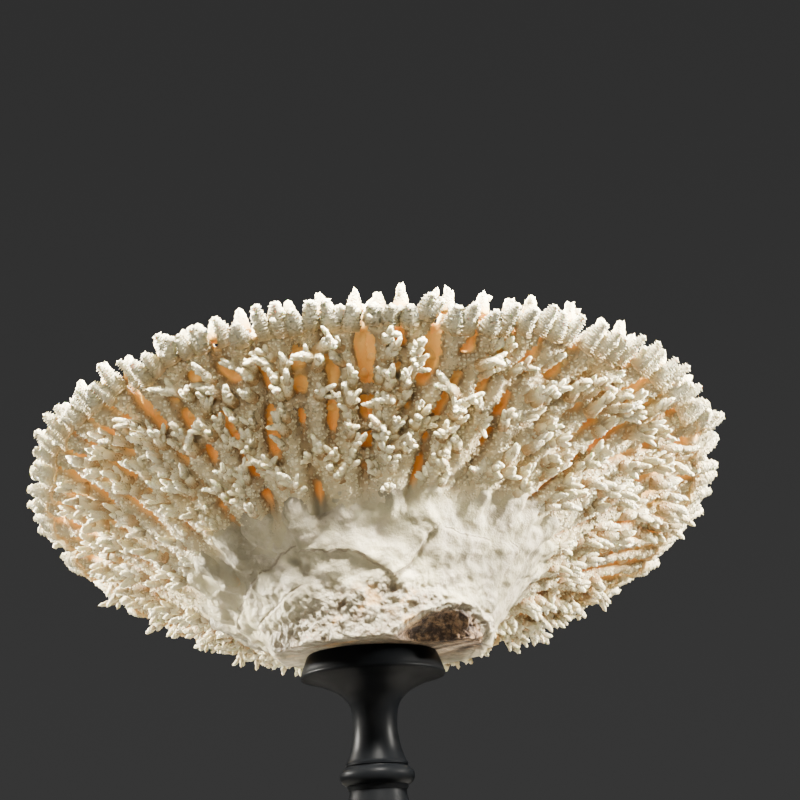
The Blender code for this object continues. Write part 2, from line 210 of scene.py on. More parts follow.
def flare_point(angle, share, lift=0.0):
    """Return a point on the trunk's side: share is 0 at the sawn foot, 1 at the limbs."""
    foot = ring_plan(CUT_CENTRE, CUT_HALF, angle)
    plan = between(foot, ring_plan(ROOT_CENTRE, ROOT_HALF, angle), share ** FLARE_CURVE)
    height = (wave_height(ROOT_WAVES, angle) - RIB_RADII[0]) * share
    return np.append(plan, CUT_HEIGHT + height + lift)


def limb_angle(index, share):
    """Return the plan angle at a share of the limb's width."""
    return (index + share) * LIMB_ANGLE


# Rods: each is tapered, and kept as (start, end, start radius, end radius)

def random_way(chance, ahead, spread):
    """Return a direction near the one ahead, at random."""
    side = np.array([chance.uniform(-1, 1) for _ in range(3)])
    return unit(ahead + side * spread)


def limb_forks(index):
    """Return a limb's ribs as pairs of (share, reach, radius), and their ends."""
    chance = random.Random(f"ribs {index}")
    ends = []
    ribs = []
    for level, (count, reach) in enumerate(FORK_LEVELS):
        starts = ends
        ends = []
        for number in range(count):
            share = (number + 0.5) / count + chance.uniform(-0.025, 0.025)
            stop = reach + chance.uniform(-0.04, 0.04) * (level > 0)
            ends.append((share, stop, RIB_RADII[level]))
            if level > 0:
                ribs.append((starts[number * len(starts) // count], ends[-1]))
    return ribs, ends


def rib_rods(index, ribs):
    """Return the rods of the ribs, which start just inside the trunk."""
    chance = random.Random(f"bends {index}")
    rods = []
    for (share, reach, radius), (end_share, end_reach, end_radius) in ribs:
        first_reach = reach if reach > 0.0 else -ROOT_OVERLAP
        points = []
        for step in range(RIB_STEPS + 1):
            part = step / RIB_STEPS
            bend = chance.uniform(-0.018, 0.018) if 0 < step < RIB_STEPS else 0.0
            angle = limb_angle(index, between(share, end_share, part) + bend)
            spot = plate_point(angle, between(first_reach, end_reach, part))
            points.append((spot, between(radius, end_radius, part)))
        rods += [(near[0], far[0], near[1], far[1]) for near, far in zip(points, points[1:])]
    return rods


def bridge_rods(index):
    """Return the short cross branches that net the ribs together, across the limbs too."""
    chance = random.Random(f"bridges {index}")
    rods = []
    for count, low, high in ((2, 0.10, 0.26), (4, 0.26, 0.56), (5, 0.56, 0.80)):
        for number in range(count):
            reach = low + chance.uniform(0.0, 0.08)
            while reach < high:
                if is_open(limb_angle(index, (number + 1.0) / count), reach, 1):
                    reach += 0.05
                    continue
                angle = limb_angle(index, (number + 0.5) / count)
                far_angle = limb_angle(index, (number + 1.5) / count)
                far_reach = reach + chance.uniform(-0.06, 0.06)
                lift = plate_axes(angle, reach)[2] * chance.uniform(-0.001, 0.003)
                radius = chance.uniform(*BRIDGE_RADII)
                rods.append((plate_point(angle, reach) + lift,
                             plate_point(far_angle, far_reach) + lift, radius, radius))
                reach += chance.uniform(0.10, 0.22)
    return rods


def sprouts(chance, rod, count, span, spread, length, radii):
    """Return small rods that grow from a rod's sides, within a span of shares along it."""
    start, end, start_radius, end_radius = rod
    ahead = unit(end - start)
    rods = []
    for _ in range(count):
        part = chance.uniform(*span)
        long = between(start_radius, end_radius, part) + length * chance.uniform(0.7, 1.3)
        way = random_way(chance, ahead, spread)
        spot = between(start, end, part)
        rods.append((spot, spot + way * long, *radii))
    return rods


def finger_rods(index, ends):
    """Return the tapered fingers along the rim, their shorter twins and their branchlets."""
    chance = random.Random(f"rim {index}")
    bud_chance = random.Random(f"rim buds {index}")
    fingers = []
    twins = []
    branchlets = []
    for share, reach, _ in ends:
        for number in range(FINGERS_PER_RIB):
            spread = (number - 0.5) * FINGER_SPREAD + chance.uniform(-0.018, 0.018)
            angle = limb_angle(index, min(0.965, max(0.035, share + spread)))
            start = plate_point(limb_angle(index, share + spread * 0.55), reach - 0.03)
            tip = plate_point(angle, 0.997 - chance.uniform(0.0, 0.07))
            tip = tip + np.array([0.0, 0.0, chance.uniform(-0.004, 0.004)])
            tip[2] = min(tip[2], CEILING)
            radius = FINGER_RADII[0] * bud_chance.uniform(0.85, 1.12)
            finger = (start, tip, radius, FINGER_RADII[1] * bud_chance.uniform(0.9, 1.2))
            fingers.append(finger)
            if bud_chance.random() < TWIN_SHARE:
                aside = plate_axes(angle, 0.9)[1] * bud_chance.choice((-1, 1))
                stop = between(start, tip, bud_chance.uniform(0.75, 0.90))
                stop = stop + aside * bud_chance.uniform(0.006, 0.009)
                twins.append((between(start, tip, 0.45), stop, radius * 0.75, finger[3]))
            branchlets += sprouts(bud_chance, finger, bud_chance.randrange(1, 5), (0.15, 0.60),
                                  0.60, 0.0050, FINGER_BUD_RADII)
    return fingers, twins, branchlets


def tuft_rods(chance, base, way, length):
    """Return one upright finger, and the branchlets on it."""
    length = min(length, (CEILING - base[2]) / way[2])
    finger = (base, base + way * length, *TUFT_RADII)
    branchlets = sprouts(chance, finger, chance.randrange(1, 4), (0.25, 0.70), 0.7, 0.0035,
                         TUFT_BUD_RADII)
    return finger, branchlets


def limb_tuft_rods(index):
    """Return the upright fingers on the upper side of a limb, and their branchlets."""
    chance = random.Random(f"fine tufts {index}")
    length = np.linalg.norm(plate_point(limb_angle(index, 0.5), 1.0)
                            - plate_point(limb_angle(index, 0.5), 0.0))
    rows = round(TUFT_REACH * length / TUFT_SPACING) + 1
    fingers = []
    branchlets = []
    for row in range(rows):
        row_reach = TUFT_START + TUFT_REACH * row / (rows - 1)
        width = np.linalg.norm(plate_point(limb_angle(index, 1.0), row_reach)
                               - plate_point(limb_angle(index, 0.0), row_reach))
        count = max(2, round(width / TUFT_SPACING))
        for number in range(count):
            reach = row_reach + chance.uniform(-0.025, 0.025)
            angle = limb_angle(index, (number + 0.5 + chance.uniform(-0.35, 0.35)) / count)
            outward, sideways, upper = plate_axes(angle, reach)
            base = plate_point(angle, reach) + upper * WEB_DEPTH
            way = unit(upper * 0.7 + np.array([0.0, 0.0, 0.6]) + outward * (0.2 + 0.9 * reach)
                       + sideways * chance.uniform(-0.2, 0.2))
            shrink = (1.0 - 0.5 * reach) * chance.uniform(0.78, 1.08)
            finger, more = tuft_rods(chance, base, way, TUFT_LENGTH * shrink + TUFT_ROOT)
            fingers.append(finger)
            branchlets += more
    return fingers, branchlets


def crown_tuft_rods():
    """Return the upright fingers on top of the trunk, and their branchlets."""
    chance = random.Random("fine crown")
    rings = round(ROOT_HALF[0] / TUFT_SPACING)
    fingers = []
    branchlets = []
    for ring in range(rings):
        share = (ring + 0.3) / rings
        around = math.tau * share * ROOT_HALF.sum() / 2
        count = max(3, round(around / TUFT_SPACING))
        for number in range(count):
            angle = math.tau * (number + 0.5 * (ring % 2) + chance.uniform(-0.3, 0.3)) / count
            lean = np.array([math.cos(angle), math.sin(angle), 0.0]) * 0.2 * share
            way = unit(lean + np.array([0.0, 0.0, 1.0]))
            base = crown_point(angle, share, CROWN_THICKNESS - 0.006)
            length = TUFT_LENGTH * chance.uniform(0.8, 1.05) + TUFT_ROOT
            finger, more = tuft_rods(chance, base, way, length)
            fingers.append(finger)
            branchlets += more
    return fingers, branchlets


def is_open(angle, reach, side):
    """Return whether a gap beside a rib is kept open there."""
    spot = Vector((8.0 * math.cos(angle), 8.0 * math.sin(angle), 6.5 * reach + 1.7 * side))
    return noise.noise(spot) > -0.05


def noise_round(angle, scale, seed):
    """Return soft noise, -1 to 1, that changes with the plan angle."""
    return noise.noise(Vector((scale * angle, seed, 0.0)))


def cluster_rods(index, ribs):
    """Return the branchlets that cover the ribs from below, and the lobes on them."""
    chance = random.Random(f"clusters {index}")
    stems = []
    lobes = []
    for (share, reach, radius), (end_share, end_reach, _) in ribs:
        start = plate_point(limb_angle(index, share), reach)
        end = plate_point(limb_angle(index, end_share), end_reach)
        count = 2 * max(1, round(np.linalg.norm(end - start) / CLUSTER_SPACING))
        for number in range(count):
            part = (number + chance.random()) / count
            spot_reach = between(reach, end_reach, part)
            angle = limb_angle(index, between(share, end_share, part))
            first = 0.20 * max(0.0, noise_round(angle, 9.0, 4.0))
            aside = abs(math.cos(angle))
            front = max(0.0, -math.sin(angle))
            if not first < spot_reach < CLUSTER_END - 0.13 * aside - 0.06 * front:
                continue
            side = 1 if number % 2 else -1
            thin = is_open(angle, spot_reach, side)
            if chance.random() < max(0.8 * thin, 0.70 * aside ** 2):
                continue
            outward, sideways, upper = plate_axes(angle, spot_reach)
            turn = side * math.radians(chance.uniform(0.0, 25.0 if thin else 65.0))
            out = sideways * math.sin(turn) - upper * math.cos(turn)
            way = unit(out + outward * (chance.uniform(0.5, 1.5) + 0.5 * aside ** 2))
            base = plate_point(angle, spot_reach) + out * radius * 0.4
            long = (0.0040 + 0.0085 * spot_reach) * (1 + 0.3 * aside ** 2)
            length = radius * 0.6 + long * chance.uniform(0.3, 1.4)
            if base[2] + way[2] * length < LOWEST_STEM:
                continue
            wide = chance.uniform(0.85, 1.2) * (1 + 0.20 * aside ** 2)
            tip = base + way * length
            stems.append((base, tip, STEM_RADII[0] * wide, STEM_RADII[1] * wide))
            lean = unit(way + outward * 0.5) * 0.0008
            lobes += sprouts(chance, (base, tip + lean, 0.0016, 0.0006),
                             chance.randrange(3, 6), (0.25, 0.90), 0.65 - 0.2 * aside,
                             LOBE_LENGTH * (1 + 0.3 * aside ** 2),
                             (LOBE_RADII[0] * wide, LOBE_RADII[1] * wide))
    return stems, lobes


# Meshes

def tube_faces(rows, sides, first, bottom, top, copies=1):
    """Return the triangles of closed tubes: rings of points, and a point at each end.

    The rings start at the first index, and the top is the last point of each tube.
    """
    faces = []
    last = first + (rows - 1) * sides
    for side in range(sides):
        other = (side + 1) % sides
        faces.append((first + other, first + side, bottom))
        faces.append((last + side, last + other, top))
        for low in range(first, last, sides):
            high = low + sides
            faces.append((low + side, low + other, high + other))
            faces.append((low + side, high + other, high + side))
    offsets = (np.arange(copies) * (top + 1))[:, None, None]
    return [(np.array(faces) + offsets).reshape(-1, 3)]


def rings_to_arrays(rings):
    """Return the vertices and triangles of a closed skin over rings of points."""
    points = np.vstack([*rings, np.mean(rings[0], axis=0), np.mean(rings[-1], axis=0)])
    return points, tube_faces(len(rings), len(rings[0]), 0, len(points) - 2, len(points) - 1)


def rod_frame(start, end):
    """Return each rod's direction, and two directions square to it."""
    way = unit(end - start)
    helper = np.where(np.abs(way[:, 2:3]) < 0.9, [[0.0, 0.0, 1.0]], [[1.0, 0.0, 0.0]])
    across = unit(np.cross(helper, way))
    return way, across, np.cross(way, across)


def spokes(turn, across, over):
    """Return the directions that stand round each rod, at given turns."""
    return np.cos(turn)[..., None] * across[:, None, :] + np.sin(turn)[..., None] * over[:, None, :]


def rods_to_arrays(rods):
    """Return the vertices and triangles of closed tapered rods with round ends."""
    start, end, start_radius, end_radius = map(np.array, zip(*rods))
    way, across, over = rod_frame(start, end)
    around = spokes(math.tau * np.arange(ROD_SIDES)[None] / ROD_SIDES, across, over)
    round_off = math.sqrt(0.5)
    layers = [(start - way * start_radius[:, None])[:, None, :]]
    for middle, along, radius in ((start, -round_off, start_radius), (start, 0.0, start_radius),
                                  (end, 0.0, end_radius), (end, round_off, end_radius)):
        radius = radius[:, None]
        wide = radius * (round_off if along else 1.0)
        layers.append((middle + way * along * radius)[:, None, :] + around * wide[:, None, :])
    layers.append((end + way * end_radius[:, None])[:, None, :])
    points = np.concatenate(layers, axis=1)
    return points.reshape(-1, 3), tube_faces(4, ROD_SIDES, 1, 0, points.shape[1] - 1, len(rods))


def grow(rods, sides, rings, relief, seed, shade, painted_glow):
    """Return a growth: round-tipped, slightly bent rods with cups, and their painted shade and
    glow.

    Every other ring of the rod is raised into a whorl of cups.
    A growth is (points, triangles, shade, painted_glow). The last two run from a rod's base
    to its tip: shade from painted shade at the base to a painted lit white tip, painted_glow
    from none to the painted amber glow of light deep in a gap.
    """
    chance = np.random.default_rng(seed)
    start, end, start_radius, end_radius = map(np.array, zip(*rods))
    _, across, over = rod_frame(start, end)
    length = np.linalg.norm(end - start, axis=1)
    bend_turn = chance.uniform(0.0, math.tau, len(rods))
    bend = (across * np.cos(bend_turn)[:, None] + over * np.sin(bend_turn)[:, None])
    bend = bend * (length * chance.uniform(0.0, 0.10, len(rods)))[:, None]
    phase = chance.uniform(0.0, math.tau, len(rods))
    turn = math.tau * np.arange(sides)[None, :] / sides + phase[:, None]
    around = spokes(turn, across, over)
    layers = []
    for ring in range(rings):
        share = ring / rings
        centre = between(start, end, share) + bend * (4 * share * (1 - share))
        radius = between(start_radius, end_radius, share) * (1 - share ** 5) ** 0.5
        raised = (ring % 2) * (0.65 + 0.35 * ((np.arange(sides) + ring // 2) % 2)) * relief
        radius = radius[:, None] + raised + chance.uniform(-0.25, 0.25, turn.shape) * relief
        layers.append(centre[:, None, :] + around * radius[..., None])
    points = np.concatenate([*layers, start[:, None, :], end[:, None, :]], axis=1)
    total = points.shape[1]
    triangles = tube_faces(rings, sides, 0, total - 2, total - 1, len(rods))
    # Painted shade and painted glow, ramped from each rod's base to its tip
    shares = np.tile([*np.repeat(np.arange(rings) / rings, sides), 0.0, 1.0], len(rods))
    painted_light = [np.interp(shares, np.linspace(0.0, 1.0, len(ramp)), ramp) for ramp in (shade, painted_glow)]
    return points.reshape(-1, 3), triangles, *painted_light


def stacked(parts):
    """Return the points and the groups of faces of several shapes as those of one."""
    firsts = np.cumsum([0] + [len(points) for points, _ in parts])
    faces = [group + first for (_, groups), first in zip(parts, firsts) for group in groups]
    return np.vstack([points for points, _ in parts]), faces


def make_mesh(name, points, faces):
    """Make a mesh from vertices and a list of arrays of faces."""
    mesh = bpy.data.meshes.new(name)
    mesh.from_pydata(points.tolist(), [], [face for group in faces for face in group.tolist()])
    return mesh


def link(name, data):
    """Link a mesh, a light or a camera as an object."""
    piece = bpy.data.objects.new(name, data)
    bpy.context.scene.collection.objects.link(piece)
    return piece


def with_modifiers(piece):
    """Return the piece's mesh with its modifiers applied, and remove the piece."""
    graph = bpy.context.evaluated_depsgraph_get()
    mesh = bpy.data.meshes.new_from_object(piece.evaluated_get(graph))
    bpy.data.objects.remove(piece)
    return mesh


def fuse(parts, voxel):
    """Fuse closed shapes that overlap into one skin."""
    piece = link("fusing", make_mesh("fusing", *stacked(parts)))
    skin = piece.modifiers.new("skin", "REMESH")
    skin.mode = "VOXEL"
    skin.voxel_size = voxel * 1.0
    return with_modifiers(piece)


@contextmanager
def reshaped(mesh):
    """Give a mesh's shape to be edited, and store it when that is done."""
    shape = bmesh.new()
    shape.from_mesh(mesh)
    yield shape
    shape.to_mesh(mesh)
    shape.free()


def read(items, name, width, kind=float):
    """Return a property of the items of a mesh, in rows of a given width."""
    values = np.empty(len(items) * width, kind)
    items.foreach_get(name, values)
    return values.reshape(-1, width)


def vertex_arrays(mesh):
    """Return a mesh's vertices and their normals."""
    return read(mesh.vertices, "co", 3), read(mesh.vertex_normals, "vector", 3)


def smooth_step(value, low, high):
    """Return 0 below low, 1 above high and a soft step between."""
    share = np.clip((value - low) / (high - low), 0.0, 1.0)
    return share * share * (3 - 2 * share)


def raise_cups(points, quads, normals, keep, chance):
    """Raise a small cup on each quad where keep is high; return new points and faces."""
    centres = points[quads].mean(axis=1)
    out = unit(normals[quads].mean(axis=1))
    edge = np.linalg.norm(points[quads[:, 0]] - points[quads[:, 2]], axis=1)
    tall = CUP_HEIGHT * chance.uniform(0.55, 1.25, len(quads)) * np.clip(edge / 0.0022, 0.4, 1.2)
    rough = keep[quads].mean(axis=1)
    raised = (rough > 0.35) & (chance.random(len(quads)) < CUP_SHARE)
    tips = (centres + out * (tall * rough)[:, None])[raised]
    picked = quads[raised]
    first = len(points) + np.arange(len(tips))
    cups = [np.stack([picked[:, side], picked[:, (side + 1) % 4], first], axis=1)
            for side in range(4)]
    return np.vstack([points, tips]), [quads[~raised], np.concatenate(cups)]


def set_attribute(mesh, name, values):
    """Store one number for each vertex."""
    layer = mesh.attributes.new(name, "FLOAT", "POINT")
    layer.data.foreach_set("value", np.asarray(values, np.float32))


def web_rings(index):
    """Return the rings of the sheet that joins a limb's ribs over their backs."""
    rings = []
    depth = WEB_DEPTH + 0.0005 * (index % 2)
    shares = np.linspace(-0.03, 1.03, 17)
    for reach in np.linspace(-ROOT_OVERLAP, WEB_REACH, 25):
        angles = limb_angle(index, shares)
        upper = plate_axes(angles, reach)[2]
        ragged = np.array([noise_round(angle, 25.0, 8.0) for angle in angles])
        spots = plate_point(angles, reach * (1 + 0.10 * ragged * (reach > 0.4)))
        filled = FILL_WAVES * np.array([noise_round(angle, 10.0, 3.0) for angle in angles])
        open_web = smooth_step(reach + filled, *FILL_REACH)[:, None]
        under = spots + upper * between(FILL_DEPTH, depth, open_web)
        over = spots + upper * (depth + WEB_THICKNESS)
        rings.append(np.vstack([under[::-1], over]))
    return rings[::-1]


def roughen(points, quads, normals, keep, seed):
    """Break the skin's even grid, and raise cups on it where keep is high."""
    chance = np.random.default_rng(seed)
    jolt = chance.uniform(-1.0, 1.0, points.shape)
    along = jolt - (jolt * normals).sum(-1, keepdims=True) * normals
    lift = chance.uniform(-0.5, 0.5, (len(points), 1)) * keep[:, None]
    points = points + along * 0.0004 + normals * lift * CUP_HEIGHT
    return raise_cups(points, quads, normals, keep, chance)


def plate_masks(points, normals):
    """Return the plate vertices' painted shade, their painted glow deep in the gaps and their
    reach.
    """
    angle, reach, height, upper = plate_coordinates(points)
    down = -(normals * upper).sum(-1)
    flank = height + FLANK_GLOW * np.cos(angle) ** 2
    # Painted glow: down-turned faces near the web, and the side limbs' flanks, are painted amber as
    # if lit through the plate; up-facing web tops get a weaker painted glow.
    painted_glow = smooth_step(flank, -0.0010, 0.0036) * smooth_step(down, -0.75, 0.1)
    top = smooth_step(-down, 0.1, 0.6) * smooth_step(height, 0.004, 0.008)
    # Painted shade: the plate is painted darker up near the web, in the crevices between the ribs,
    # and lighter down the ribs.
    shade = smooth_step(-height, -0.003, 0.0075)
    return shade, np.maximum(painted_glow, 0.45 * top), reach


def build_plate(index, rods):
    """Return the growth of a limb's ribs and the web between them."""
    mesh = fuse([rings_to_arrays(web_rings(index)), rods_to_arrays(rods)], PLATE_VOXEL)
    points, normals = vertex_arrays(mesh)
    _, painted_glow, reach = plate_masks(points, normals)
    keep = (1.0 - smooth_step(painted_glow, 0.1, 0.4)) * smooth_step(reach, 0.03, 0.12)
    skin_count = len(points)
    quads = read(mesh.loops, "vertex_index", 1, int).reshape(-1, 4)
    points, faces = roughen(points, quads, normals, keep, index)
    rough = make_mesh("rough", points, faces)
    _, rough_normals = vertex_arrays(rough)
    bpy.data.meshes.remove(rough)
    shade, painted_glow, _ = plate_masks(points, rough_normals)
    # Painted shade darkens the whole plate; the raised cup tips get a painted highlight.
    shade *= PLATE_SHADE
    shade[skin_count:] += CUP_TIP_HIGHLIGHT
    return points, faces, shade, painted_glow


def join_growths(name, growths, material):
    """Join growths into one piece, with their painted shade and painted glow stored on it."""
    points, faces = stacked([growth[:2] for growth in growths])
    mesh = make_mesh(name, points, faces)
    mesh.shade_smooth()
    set_attribute(mesh, "shade", np.concatenate([growth[2] for growth in growths]))
    set_attribute(mesh, "painted_glow", np.concatenate([growth[3] for growth in growths]))
    set_attribute(mesh, "reach", plate_coordinates(points)[1])
    mesh.materials.append(material)
    return link(name, mesh)


def grow_tufts(fingers, branchlets, seed):
    """Return the growths of upright fingers: painted amber glow at their base, painted lit white at
    the tips.
    """
    return [grow(fingers, 8, 10, 0.0004, seed, (0.3, 0.7, 1.0), (1.0, 0.35, 0.0, 0.0)),
            grow(branchlets, 6, 3, 0.0003, seed + 1, (0.6, 1.0), (0.2, 0.0))]


def build_limb(index, material):
    """Grow one limb and put it in place of its solid."""
    ribs, ends = limb_forks(index)
    plate = rib_rods(index, ribs) + bridge_rods(index)
    fingers, twins, finger_branchlets = finger_rods(index, ends)
    plate += [(start, between(start, tip, 0.35), radius * 0.9, radius * 0.8)
              for start, tip, radius, _ in fingers]
    fingers = [(between(start, tip, FINGER_HIDDEN), tip, radius, end_radius)
               for start, tip, radius, end_radius in fingers]
    stems, lobes = cluster_rods(index, ribs)
    seed = 10 * index
    # Each kind: rods, sides, rings, relief, seed, then its ramps of painted shade and of painted
    # glow
    kinds = ((fingers, 10, 27, 0.0020, seed, (0.35, 0.80, 1.0), (0.30, 0.05, 0.0, 0.0)),
             (twins, 10, 15, 0.0020, seed + 6, (0.45, 0.85, 1.0), (0.0, 0.0)),
             (finger_branchlets, 8, 6, 0.0006, seed + 1, (0.4, 1.0), (0.0, 0.0)),
             (stems, 8, 8, 0.0007, seed + 2, (0.0, 0.45, 0.85), (0.15, 0.0)),
             (lobes, 6, 6, 0.00035, seed + 3, (0.25, 1.0), (0.0, 0.0)))
    growths = [build_plate(index, plate)] + [grow(*kind) for kind in kinds if kind[0]]
    growths += grow_tufts(*limb_tuft_rods(index), seed + 4)
    name = f"coral_limb_{index + 1:02d}"
    piece = join_growths(f"{name}_branches", growths, material)
    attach(piece, "root")
    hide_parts(name)


# Trunk

# Seams and folds in the skin: how far one side stands over the other, then knots of
# degrees round from the front and height over the foot
UNROLLED_RADIUS = 0.062
SEAM_REACH = 0.012
SEAMS = (
    (0.0006, ((-35, 0.047), (-41, 0.0445), (-50, 0.0385), (-55, 0.0378), (-66, 0.0308),
              (-79, 0.0235), (-90, 0.0160), (-93, 0.0010))),
    (0.0008, ((-36, 0.0279), (-49, 0.0221), (-66, 0.0162), (-84, 0.0100), (-88, 0.0010))),
    (0.0020, ((-32, 0.0435), (-23, 0.0436), (-20, 0.0415), (-15, 0.0429), (-7, 0.0403),
              (1, 0.0351), (8.6, 0.0292))),
    (0.0036, ((8.6, 0.0292), (16, 0.0336), (21, 0.0419), (24, 0.0495), (29, 0.0535))),
    (0.0020, ((54, 0.0484), (40, 0.0503), (29, 0.0535))),
    (0.0020, ((74, 0.0085), (70, 0.0154), (72, 0.0289), (68, 0.0402), (71, 0.0451),
              (65, 0.0489))),
    (0.0006, ((118, 0.004), (109, 0.016), (113, 0.026), (106, 0.041))),
    (0.0008, ((165, 0.003), (158, 0.014), (163, 0.025), (152, 0.043))),
    (0.0006, ((-128, 0.002), (-134, 0.015), (-126, 0.027), (-131, 0.045))),
)

# Broken rock face at the front of the foot: its top, by degrees round from the front
ROCK_TOP = ((-82, 0.0), (-66, 0.008), (-44, 0.017), (-14, 0.025), (8, 0.027), (30, 0.022),
            (50, 0.016), (68, 0.006), (76, 0.0))
ROCK_DEPTH = 0.0016
ROCK_EDGE = ((-82, 0.0075), (-10, 0.0070), (20, 0.0045), (45, 0.0012), (76, 0.0012))
LIP_HEIGHT = 0.0016
PIT_PLACE = (-36.0, 0.0397)
PIT_RADIUS = 0.0030
PIT_DEPTH = 0.0016
HOLLOW_CENTRE = np.array([0.0360, -0.050, CUT_HEIGHT + 0.0005])
HOLLOW_SIZE = np.array([0.0230, 0.020, 0.0150])
HOLLOW_SLANT = 0.45


def trunk_rings():
    """Return the rings of the trunk's flared body."""
    sides = 6 * LIMB_COUNT
    angles = math.tau * np.arange(sides) / sides
    rings = [[flare_point(angle, 0.0, -0.006) for angle in angles]]
    rings += [[flare_point(angle, share) for angle in angles]
              for share in (0.0, 0.2, 0.4, 0.6, 0.8, 1.0)]
    rings.append([crown_point(angle, 0.985, -0.004) for angle in angles])
    rings += [[crown_point(angle, share, CROWN_THICKNESS) for angle in angles]
              for share in (0.97, 0.7, 0.35)]
    return rings


def stub_rods():
    """Return the smooth skin that climbs from the trunk onto the first ribs."""
    rods = []
    for index in range(LIMB_COUNT):
        chance = random.Random(f"stubs {index}")
        ribs, _ = limb_forks(index)
        for (share, reach, radius), (end_share, end_reach, end_radius) in ribs:
            if reach > 0.0:
                continue
            stop = chance.uniform(0.06, 0.15)
            part = stop / end_reach
            start = plate_point(limb_angle(index, share), -ROOT_OVERLAP)
            middle = plate_point(limb_angle(index, share), 0.0)
            end = plate_point(limb_angle(index, between(share, end_share, part)), stop)
            rods.append((start, middle, radius + 0.0015, radius + 0.0012))
            rods.append((middle, end, radius + 0.0012, radius - 0.0040))
    return rods


def noise_at(points, scale, seed):
    """Return soft noise, about -1 to 1, at each point."""
    shift = Vector((seed * 7.3, seed * 3.1, seed * 5.7))
    return np.array([noise.fractal(Vector(point) * scale + shift, 1.0, 2.0, 3)
                     for point in points])


def unrolled(points):
    """Return how far round from the front, in degrees, and how high over the foot."""
    offset = points[:, :2] - CUT_CENTRE
    degrees = np.degrees(np.arctan2(offset[:, 1], offset[:, 0])) + 90.0
    return (degrees + 180.0) % 360.0 - 180.0, points[:, 2] - CUT_HEIGHT


def seam_field(points):
    """Return the signed distance from the nearest seam, its nearness and its lift."""
    degrees, heights = unrolled(points)
    spots = np.stack([np.radians(degrees) * UNROLLED_RADIUS, heights], -1)
    best = np.full(len(points), 1.0)
    near = np.zeros(len(points))
    lift = np.zeros(len(points))
    for height, knots in SEAMS:
        corners = np.array([(math.radians(degree) * UNROLLED_RADIUS, level)
                            for degree, level in knots])
        for number, (start, end) in enumerate(zip(corners, corners[1:])):
            along = end - start
            long = np.linalg.norm(along)
            along = along / long
            part = (spots - start) @ along
            past = np.maximum(np.maximum(-part, part - long), 0.0)
            side = (spots - start) @ np.array([-along[1], along[0]])
            gap = np.hypot(side, past)
            closer = gap < np.abs(best)
            best = np.where(closer, np.where(side < 0.0, -gap, gap), best)
            fresh = (1 - smooth_step(past, 0.0, 0.002)) * (1 - smooth_step(gap, 0.003, 0.005))
            near = np.where(closer, fresh, near)
            raised = height * np.exp(-(side / SEAM_REACH) ** 2) * smooth_step(side, -0.001, 0.001)
            raised = raised * (1 - smooth_step(past, 0.0, 0.0025))
            lift = np.where(np.abs(raised) > np.abs(lift), raised, lift)
    return best, near, lift


def hollow_distance(points):
    """Return how far points are from the hollow's middle, and 1 at its ragged edge."""
    offset = (points - HOLLOW_CENTRE) / HOLLOW_SIZE
    across = np.clip(offset[:, 0], -1.2, 1.2)
    tall = offset[:, 2] / (0.85 + HOLLOW_SLANT * across)
    return np.hypot(offset[:, 0], tall) + 0.10 * noise_at(points, 150.0, 6)


def rock_masks(points):
    """Return how far the vertices lie in the broken face, in its hollow and on the lip."""
    degrees, heights = unrolled(points)
    top = np.interp(degrees, *zip(*ROCK_TOP)) + 0.0032 * noise_at(points, 75.0, 5)
    edge = np.interp(degrees, *zip(*ROCK_EDGE))
    rock = 1 - smooth_step(heights, top - edge, top + edge)
    ragged = hollow_distance(points)
    front = points[:, 1] < 0.0
    hollow = 1 - smooth_step(ragged, 0.90, 1.04)
    lip = np.exp(-((ragged - 1.13) / 0.09) ** 2)
    return rock * (top > 0.001), hollow * front, lip * front


def hollow_out(points):
    """Push the vertices at the front of the foot back to the hollow's wall."""
    across = hollow_distance(points) ** 2
    wall = HOLLOW_CENTRE[1] + HOLLOW_SIZE[1] * np.sqrt(np.clip(1 - across, 0.0, 1.0))
    wall = wall + 0.0012 * noise_at(points, 260.0, 7)
    pushed = points.copy()
    inside = (across < 1.0) & (points[:, 1] < wall) & (points[:, 1] < 0.0)
    pushed[inside, 1] = wall[inside]
    return pushed


def refine_front(mesh):
    """Give the mesh a finer net where the front of the foot is broken."""
    with reshaped(mesh) as shape:
        for _ in range(2):
            centres = np.array([face.calc_center_median() for face in shape.faces])
            degrees, heights = unrolled(centres)
            near = (np.abs(degrees - 2.0) < 74.0) & (np.abs(heights - 0.012) < 0.018)
            outside = np.hypot(*((centres[:, :2] - CUT_CENTRE) / CUT_HALF).T) > 0.9
            shape.faces.ensure_lookup_table()
            rows = np.nonzero(near & outside)[0]
            edges = {edge for row in rows for edge in shape.faces[row].edges}
            bmesh.ops.subdivide_edges(shape, edges=list(edges), cuts=1, use_grid_fill=True)
        bmesh.ops.triangulate(shape, faces=shape.faces)


def saw_flat(mesh):
    """Cut a mesh off flat at the sawn foot."""
    with reshaped(mesh) as shape:
        everything = shape.verts[:] + shape.edges[:] + shape.faces[:]
        cut = bmesh.ops.bisect_plane(shape, geom=everything, plane_co=(0, 0, CUT_HEIGHT),
                                     plane_no=(0, 0, 1), clear_inner=True)
        rim = [item for item in cut["geom_cut"] if isinstance(item, bmesh.types.BMEdge)]
        bmesh.ops.holes_fill(shape, edges=rim)


